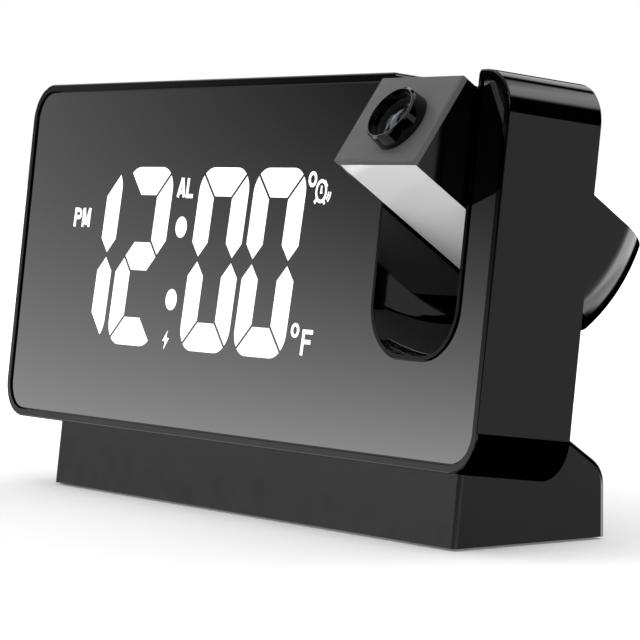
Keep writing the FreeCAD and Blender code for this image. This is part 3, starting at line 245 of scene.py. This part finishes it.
wearers = {
    "gloss": ["housing", "focus_ring"],
    "face": ["lens_face_plate"],
    "case": ["projector_case"],
    "stand": ["stand"],
    "satin": [
        "back_cover", "stand_underside", "lens_tube", "light_shroud", "trunnion_left", "trunnion_right",
    ],
    "keys": [
        "button_set", "button_down", "button_up", "button_alarm", "button_projector", "snooze_bar",
        "battery_door",
    ],
    "panel": ["mirror_panel"],
    "plate": ["projector_under_plate"],
    "lit": ["lit_segments", "colon_lights"],
    "film": ["display_diffuser"],
    "white": ["display_reflector", "board_connector", "usb_tongue"],
    "board": ["display_board", "main_board", "projector_led_board"],
    "chip": [
        "controller_chip", "button_switches", "snooze_switches", "temperature_sensor", "buzzer",
        "power_inlet", "digit_mask",
    ],
    "lamp": ["display_lamps", "projector_led"],
    "tin": ["clock_crystal", "coin_cell", "usb_socket"],
    "can": ["capacitors"],
    "brass": ["board_posts", "battery_contacts", "power_inlet_pin"],
    "steel": [
        "back_cover_screws", "stand_screws", "underside_screws", "trunnion_clips", "friction_washers",
        "ballast_plate",
    ],
    "lens": ["front_lens", "rear_lens", "condenser_lens"],
    "rubber": ["rubber_feet"],
}


def dress_nodes():
    for finish, nodes in wearers.items():
        for node in nodes:
            slots = frame["nodes"][node].data.materials
            slots.clear()
            slots.append(finishes[finish].material)


# Flat signs, drawn as strokes and rings on a plane of the housing
def flat_piece(name, build, place, finish, thickness):
    """A thin mesh whose outlines build draws in millimetres, raised along local +Z."""
    mesh = bpy.data.meshes.new(name)
    shape = bmesh.new()
    build(shape)
    faces = bmesh.ops.extrude_face_region(shape, geom=list(shape.faces))["geom"]
    lifted = [item for item in faces if isinstance(item, bmesh.types.BMVert)]
    bmesh.ops.translate(shape, verts=lifted, vec=(0, 0, thickness))
    bmesh.ops.recalc_face_normals(shape, faces=shape.faces)
    bmesh.ops.scale(shape, vec=(MM, MM, MM), verts=shape.verts)
    shape.to_mesh(mesh)
    shape.free()
    mesh.transform(place)
    mesh.materials.append(finishes[finish].material)
    piece = bpy.data.objects.new(name, mesh)
    bpy.context.collection.objects.link(piece)
    return piece


def polygon(shape, points):
    shape.faces.new([shape.verts.new((x, y, 0)) for x, y in points])


def stroke(shape, start, end, width):
    """A straight bar of a given width between two points."""
    along = (Vector(end) - Vector(start)).normalized()
    side = Vector((-along.y, along.x)) * width / 2
    corners = [Vector(start) - side, Vector(end) - side, Vector(end) + side, Vector(start) + side]
    polygon(shape, [tuple(corner) for corner in corners])


def ring(shape, centre, outer, inner, start=0.0, sweep=360.0, steps=40):
    """A band between two ellipses, whole or over part of the turn."""
    count = steps + (sweep < 360)
    rims = []
    for radii in (outer, inner):
        turns = [math.radians(start + sweep * i / steps) for i in range(count)]
        spots = [(radii[0] * math.cos(turn), radii[1] * math.sin(turn)) for turn in turns]
        rims.append([shape.verts.new((centre[0] + x, centre[1] + y, 0)) for x, y in spots])
    for i in range(steps):
        j = (i + 1) % count
        shape.faces.new([rims[0][i], rims[0][j], rims[1][j], rims[1][i]])


def plane_at(depth):
    return HOUSING @ Matrix.Translation(Vector((0, depth, 0)) * MM)


STAND_UP = Matrix.Rotation(math.pi / 2, 4, "X")
FRONT_PLANE = plane_at(PANEL_FRONT) @ STAND_UP
REAR_PLANE = plane_at(COVER_BACK) @ Matrix.Rotation(math.pi, 4, "Z") @ STAND_UP
SIGN_THICKNESS = 0.04
SIGN_SLANT = 0.06
# Strokes of the letters, in parts of their height
P_STROKES = [((0, 0), (0, 1)), ((0, 0.9), (0.34, 0.9)), ((0, 0.5), (0.34, 0.5))]
M_STROKES = [
    ((0, 0), (0, 1)), ((0.63, 0), (0.63, 1)), ((0.03, 1), (0.31, 0.12)), ((0.6, 1), (0.33, 0.12)),
]
A_STROKES = [((0, 0), (0.3, 1)), ((0.62, 0), (0.34, 1)), ((0.12, 0.27), (0.52, 0.27))]
L_STROKES = [((0, 0), (0, 1)), ((-0.08, 0.07), (0.58, 0.07))]
F_STROKES = [((0, 0), (0, 1)), ((-0.08, 0.92), (0.62, 0.92)), ((0, 0.53), (0.53, 0.53))]


def letter(shape, origin, height, strokes, width):
    """Strokes given in parts of the letter's height, slanted as the display is."""
    x, y = origin
    for start, end in strokes:
        points = [(x + (px + SIGN_SLANT * py) * height, y + py * height) for px, py in (start, end)]
        stroke(shape, *points, width)


def afternoon_sign(shape):
    left, low, height, width = -69.4, 45.15, 4.35, 0.95
    letter(shape, (left, low), height, P_STROKES, width)
    ring(shape, (left + 1.75, low + 3.0), (1.25, 1.3), (0.45, 0.42), -90, 180, 16)
    letter(shape, (left + 3.7, low), height, M_STROKES, width * 0.85)


def alarm_sign(shape):
    left, low, height, width = -24.9, 52.45, 4.25, 0.9
    letter(shape, (left, low), height, A_STROKES, width)
    letter(shape, (left + 3.8, low), height, L_STROKES, width)


def alarm_clock_icon(shape):
    x, y = centre = (31.58, 54.27)
    ring(shape, centre, (2.07, 2.5), (1.5, 1.78))
    for start, end, width in (
        ((0, -0.3), (0.05, 1.15), 0.5), ((-0.35, -0.3), (0.4, -0.3), 0.4), ((0.95, 2.15), (2.0, 0.95), 0.75),
        ((-1.3, -1.6), (-2.2, -2.45), 0.7), ((1.0, -1.8), (1.6, -2.6), 0.65),
    ):
        stroke(shape, (x + start[0], y + start[1]), (x + end[0], y + end[1]), width)
    for reach in (2.75, 3.5):
        outer = (reach + 0.22, reach * 0.9 + 0.2)
        ring(shape, centre, outer, (reach - 0.16, reach * 0.9 - 0.2), -42, 40, 10)
    ring(shape, (28.05, 56.75), (1.55, 1.66), (0.78, 0.9))


def charging_bolt(shape):
    top, left, notch_left = (-23.3, 22.96), (-25.25, 20.55), (-24.05, 20.5)
    foot, right, notch_right = (-24.48, 18.67), (-22.5, 21.25), (-23.68, 21.35)
    for corners in (
        [top, left, notch_left], [top, notch_left, notch_right],
        [notch_left, foot, notch_right], [foot, right, notch_right],
    ):
        polygon(shape, corners)


def degree_sign(shape):
    ring(shape, (27.1, 25.2), (1.55, 1.55), (0.72, 0.86))
    letter(shape, (30.15, 20.15), 5.35, F_STROKES, 0.92)


INDICATORS = {
    "sign_afternoon": afternoon_sign, "sign_alarm": alarm_sign, "sign_alarm_clock": alarm_clock_icon,
    "sign_charging": charging_bolt, "sign_degrees": degree_sign,
}


def make_indicators():
    for name, build in INDICATORS.items():
        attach(flat_piece(name, build, FRONT_PLANE, "lit", SIGN_THICKNESS), "clock_body")


# Raised marks beside the rear buttons: a gear, minus, plus, bell and beam
BUTTON_MARK_DROP = 6.2


def mark_spot(node):
    """Where a button's mark goes on the rear plane, whose X runs the other way."""
    low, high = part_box(node)
    centre = HOUSING.inverted() @ ((low + high) / 2)
    return -centre.x / MM, centre.z / MM - BUTTON_MARK_DROP


def gear_mark(shape, spot):
    ring(shape, spot, (1.15, 1.15), (0.6, 0.6))
    for i in range(6):
        turn = math.radians(60 * i)
        way = Vector((math.cos(turn), math.sin(turn)))
        stroke(shape, tuple(Vector(spot) + way * 1.05), tuple(Vector(spot) + way * 1.55), 0.5)


def minus_mark(shape, spot):
    stroke(shape, (spot[0] - 1.3, spot[1]), (spot[0] + 1.3, spot[1]), 0.5)


def plus_mark(shape, spot):
    minus_mark(shape, spot)
    stroke(shape, (spot[0], spot[1] + 0.25), (spot[0], spot[1] + 1.3), 0.5)
    stroke(shape, (spot[0], spot[1] - 1.3), (spot[0], spot[1] - 0.25), 0.5)


def bell_mark(shape, spot):
    x, y = spot
    corners = [(-1.3, -0.8), (1.3, -0.8), (0.8, -0.1), (0.7, 0.8), (-0.7, 0.8), (-0.8, -0.1)]
    polygon(shape, [(x + dx, y + dy) for dx, dy in corners])
    stroke(shape, (x - 0.35, y - 1.15), (x + 0.35, y - 1.15), 0.35)
    stroke(shape, (x - 0.25, y + 1.05), (x + 0.25, y + 1.05), 0.4)


def beam_mark(shape, spot):
    x, y = spot
    polygon(shape, [(x - 1.5, y - 0.5), (x - 0.6, y - 0.5), (x - 0.6, y + 0.5), (x - 1.5, y + 0.5)])
    polygon(shape, [(x - 0.3, y - 0.3), (x + 1.4, y - 1.1), (x + 1.4, y + 1.1), (x - 0.3, y + 0.3)])


BUTTON_MARKS = {
    "button_set": gear_mark, "button_down": minus_mark, "button_up": plus_mark, "button_alarm": bell_mark,
    "button_projector": beam_mark,
}


def make_button_marks():
    for node, draw in BUTTON_MARKS.items():
        spot = mark_spot(node)
        piece = flat_piece(
            "mark_" + node, lambda shape: draw(shape, spot), REAR_PLANE, "white", SIGN_THICKNESS
        )
        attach(piece, "clock_body")


# Floor, light and camera
FLOOR_REACH = 6.0
FLOOR_WHITE = 0.96
# What the floor gives off to the camera, near the object and further out, and where it rises
FLOOR_LIFT = 0.14
FAR_LIFT = 0.6
LIFT_START, LIFT_END = 0.08, 0.3
# The surroundings' plain light on everything but gloss
AMBIENT = 0.8


class World:
    """Sums of node values, written as calls."""

    def __init__(self, tree):
        self.tree = tree

    def maths(self, operation, *values):
        node = self.tree.nodes.new("ShaderNodeMath")
        node.operation = operation
        for socket, value in zip(node.inputs, values):
            if isinstance(value, (int, float)):
                socket.default_value = value
            else:
                self.tree.links.new(value, socket)
        return node.outputs["Value"]

    def scaled(self, value, amount):
        return self.maths("MULTIPLY", value, amount)

    def product(self, first, *rest):
        for value in rest:
            first = self.maths("MULTIPLY", first, value)
        return first

    def total(self, first, *rest):
        for value in rest:
            first = self.maths("ADD", first, value)
        return first

    def beyond(self, vector, azimuth, soft):
        """1 for directions up to half a turn past an azimuth in degrees, 0 before it."""
        turn = math.radians(azimuth)
        return self.ramp(self.dot(vector, (-math.sin(turn), math.cos(turn), 0)), -soft, soft)

    def dot(self, vector, direction):
        node = self.tree.nodes.new("ShaderNodeVectorMath")
        node.operation = "DOT_PRODUCT"
        self.tree.links.new(vector, node.inputs[0])
        node.inputs[1].default_value = direction
        return node.outputs["Value"]

    def ramp(self, value, start, end):
        """0 at start, 1 at end, smooth between."""
        node = self.tree.nodes.new("ShaderNodeMapRange")
        node.interpolation_type = "SMOOTHSTEP"
        node.inputs["From Min"].default_value = start
        node.inputs["From Max"].default_value = end
        self.tree.links.new(value, node.inputs["Value"])
        return node.outputs["Result"]

    def softbox(self, vector, azimuth, elevation, half_width, half_height, strength):
        """A bright rectangle in the surroundings, by its direction and half sizes in degrees."""
        turn, rise = math.radians(azimuth), math.radians(elevation)
        centre = Vector((math.cos(turn) * math.cos(rise), math.sin(turn) * math.cos(rise), math.sin(rise)))
        across = Vector((-math.sin(turn), math.cos(turn), 0))
        upward = centre.cross(across) * -1
        masks = []
        for way, half in ((across, half_width), (upward, half_height)):
            offset = self.maths("ABSOLUTE", self.dot(vector, way))
            edge = math.sin(math.radians(half))
            masks.append(self.ramp(offset, edge + SOFTBOX_EDGE, edge - SOFTBOX_EDGE))
        masks.append(self.ramp(self.dot(vector, centre), 0.1, 0.3))
        return self.product(*masks, strength)


# Half width of a softbox's soft edge
SOFTBOX_EDGE = 0.06
# Azimuth and elevation, half width and half height in degrees, and strength
SOFTBOXES = [
    (168, 36, 52, 11, 1.25), (76, 41, 20, 6, 2.7), (318, 48, 22, 12, 0.8), (0, 88, 22, 22, 0.9),
]
# The range of upward and sideways direction over which the card is graded
CARD_RISE = (0.0, 0.175)
CARD_TURN = (-0.63, -0.45)
# How much brighter the card is where only the half silvered panel sees it
CARD_GAIN = 2.87
# The square root of the card's light, as a sum of products of rise and turn
CARD_ROOT = {
    "level": 1.235, "rise": 3.594, "turn": 3.073, "rise_rise": 14.83, "rise_turn": 18.48,
    "turn_turn": 4.164,
}
CARD_FOOT = 0.07
TABLE_LEVEL = 0.5
RIM_LEVEL = 1.6
RIGHT_CARD_LEVEL = 0.56
STRIP_LEVEL = 2.6


def make_surroundings():
    """White to the camera; to gloss, a dark studio with a graded card and softboxes."""
    world = bpy.data.worlds.new("studio")
    bpy.context.scene.world = world
    world.use_nodes = True
    tree = world.node_tree
    kit = World(tree)
    direction = tree.nodes.new("ShaderNodeTexCoord").outputs["Generated"]
    parts = tree.nodes.new("ShaderNodeSeparateXYZ")
    tree.links.new(direction, parts.inputs["Vector"])
    x, y, z = parts.outputs
    # graded card to the left of the front: lightest at table height, black higher up
    rise = kit.maths("MINIMUM", kit.maths("MAXIMUM", z, CARD_RISE[0]), CARD_RISE[1])
    turn = kit.maths("MINIMUM", kit.maths("MAXIMUM", y, CARD_TURN[0]), CARD_TURN[1])
    root = kit.total(
        CARD_ROOT["level"], kit.scaled(rise, CARD_ROOT["rise"]), kit.scaled(turn, CARD_ROOT["turn"]),
        kit.product(rise, rise, CARD_ROOT["rise_rise"]), kit.product(rise, turn, CARD_ROOT["rise_turn"]),
        kit.product(turn, turn, CARD_ROOT["turn_turn"]),
    )
    foot = kit.scaled(kit.ramp(z, 0.042, 0.014), CARD_FOOT)
    gain = kit.maths("ADD", kit.scaled(kit.ramp(z, 0.036, 0.042), CARD_GAIN - 1), 1)
    card = kit.product(
        kit.maths("ADD", kit.maths("MULTIPLY", root, root), foot), kit.ramp(y, 0.1, -0.3),
        kit.ramp(z, 0.32, 0.18), kit.ramp(z, -0.12, -0.06), gain,
    )
    table_ahead = kit.product(
        kit.ramp(z, -0.06, -0.12), kit.beyond(direction, 182, 0.05), kit.beyond(direction, 95, 0.05),
        TABLE_LEVEL,
    )
    # a strip just below the front's horizon, which the lower rim picks up
    rim_strip = kit.product(
        kit.ramp(z, -0.03, -0.08), kit.ramp(z, -0.27, -0.2), kit.beyond(direction, 203, 0.04),
        kit.beyond(direction, 42, 0.04), RIM_LEVEL,
    )
    # a low card to the right of the rear, with a bright lamp strip near its far end
    right_card = kit.product(
        kit.ramp(z, 0.055, 0.032), kit.ramp(z, -0.162, -0.122), kit.beyond(direction, -30, 0.1),
        kit.beyond(direction, 245, 0.2), RIGHT_CARD_LEVEL,
    )
    strip = kit.product(
        kit.beyond(direction, 48, 0.1), kit.beyond(direction, 268, 0.07), kit.ramp(z, -0.03, -0.1),
        kit.ramp(z, -0.46, -0.38), kit.maths("ADD", kit.ramp(z, -0.28, -0.2), 1), STRIP_LEVEL,
    )
    softboxes = [kit.softbox(direction, *values) for values in SOFTBOXES]
    total = kit.total(card, table_ahead, rim_strip, right_card, strip, *softboxes)
    path = tree.nodes.new("ShaderNodeLightPath")
    plain = kit.maths("ADD", kit.scaled(path.outputs["Is Camera Ray"], 1.0 - AMBIENT), AMBIENT)
    see_through = kit.maths("MAXIMUM", plain, path.outputs["Is Transmission Ray"])
    background = tree.nodes["Background"]
    mix = tree.nodes.new("ShaderNodeMix")
    tree.links.new(path.outputs["Is Glossy Ray"], mix.inputs["Factor"])
    tree.links.new(see_through, mix.inputs["A"])
    tree.links.new(total, mix.inputs["B"])
    tree.links.new(mix.outputs["Result"], background.inputs["Strength"])
    background.inputs["Color"].default_value = (1, 1, 1, 1)


def make_floor():
    bpy.ops.mesh.primitive_grid_add(x_subdivisions=4, y_subdivisions=4, size=2 * FLOOR_REACH)
    floor = bpy.context.object
    floor.name = "floor"
    material = bpy.data.materials.new("pale floor")
    material.use_nodes = True
    floor.data.materials.append(material)
    tree = material.node_tree
    kit = World(tree)
    tree.nodes.remove(tree.nodes["Principled BSDF"])
    matt = tree.nodes.new("ShaderNodeBsdfDiffuse")
    matt.inputs["Color"].default_value = (FLOOR_WHITE, FLOOR_WHITE, FLOOR_WHITE, 1)
    glow = tree.nodes.new("ShaderNodeEmission")
    position = tree.nodes.new("ShaderNodeTexCoord").outputs["Object"]
    length = tree.nodes.new("ShaderNodeVectorMath")
    length.operation = "LENGTH"
    tree.links.new(position, length.inputs[0])
    far = kit.scaled(kit.ramp(length.outputs["Value"], LIFT_START, LIFT_END), FAR_LIFT)
    lift = kit.maths("ADD", far, FLOOR_LIFT)
    path = tree.nodes.new("ShaderNodeLightPath")
    seen = kit.maths("MAXIMUM", path.outputs["Is Camera Ray"], path.outputs["Is Transmission Ray"])
    tree.links.new(kit.maths("MULTIPLY", seen, lift), glow.inputs["Strength"])
    add = tree.nodes.new("ShaderNodeAddShader")
    tree.links.new(matt.outputs["BSDF"], add.inputs[0])
    tree.links.new(glow.outputs["Emission"], add.inputs[1])
    tree.links.new(add.outputs["Shader"], tree.nodes["Material Output"].inputs["Surface"])
    floor.visible_glossy = False


def make_lamp(name, place, aim, size, power):
    data = bpy.data.lights.new(name, "AREA")
    data.shape = "DISK"
    data.size = size
    data.energy = power
    lamp = bpy.data.objects.new(name, data)
    lamp.location = place
    lamp.rotation_euler = (Vector(place) - Vector(aim)).to_track_quat("Z", "Y").to_euler()
    lamp.visible_glossy = False
    bpy.context.collection.objects.link(lamp)


def make_lamps():
    middle = (0, 0, 0.05)
    make_lamp("key", (-0.5, -0.7, 1.3), middle, 0.9, 3.6)
    make_lamp("fill", (0.9, -0.4, 0.9), middle, 0.8, 1.6)
    make_lamp("back", (0.2, 1.0, 0.9), middle, 0.8, 1.4)


CAMERA_PLACE = Vector((0.587676, -0.39111, 0.078157))
CAMERA_YAW = math.radians(56.0844)
CAMERA_DIP = math.radians(2.9772)
CAMERA_ROLL = math.radians(-0.1301)
FOCAL_PIXELS = 3245.52
IMAGE_PIXELS = 640
SENSOR_WIDTH = 36.0


def make_camera():
    forward = Vector((
        -math.sin(CAMERA_YAW) * math.cos(CAMERA_DIP), math.cos(CAMERA_YAW) * math.cos(CAMERA_DIP),
        -math.sin(CAMERA_DIP),
    ))
    level = Vector((math.cos(CAMERA_YAW), math.sin(CAMERA_YAW), 0))
    upright = level.cross(forward)
    right = math.cos(CAMERA_ROLL) * level + math.sin(CAMERA_ROLL) * upright
    up = math.cos(CAMERA_ROLL) * upright - math.sin(CAMERA_ROLL) * level
    data = bpy.data.cameras.new("camera")
    data.sensor_width = SENSOR_WIDTH
    data.lens = FOCAL_PIXELS * SENSOR_WIDTH / IMAGE_PIXELS
    data.clip_start = 0.01
    camera = bpy.data.objects.new("camera", data)
    turn = Matrix((right, up, -forward)).transposed().to_4x4()
    camera.matrix_world = Matrix.Translation(CAMERA_PLACE) @ turn
    bpy.context.collection.objects.link(camera)
    bpy.context.scene.camera = camera


dress_nodes()
make_indicators()
make_button_marks()
make_surroundings()
make_floor()
make_lamps()
make_camera()
bpy.context.scene.view_settings.view_transform = "Standard"
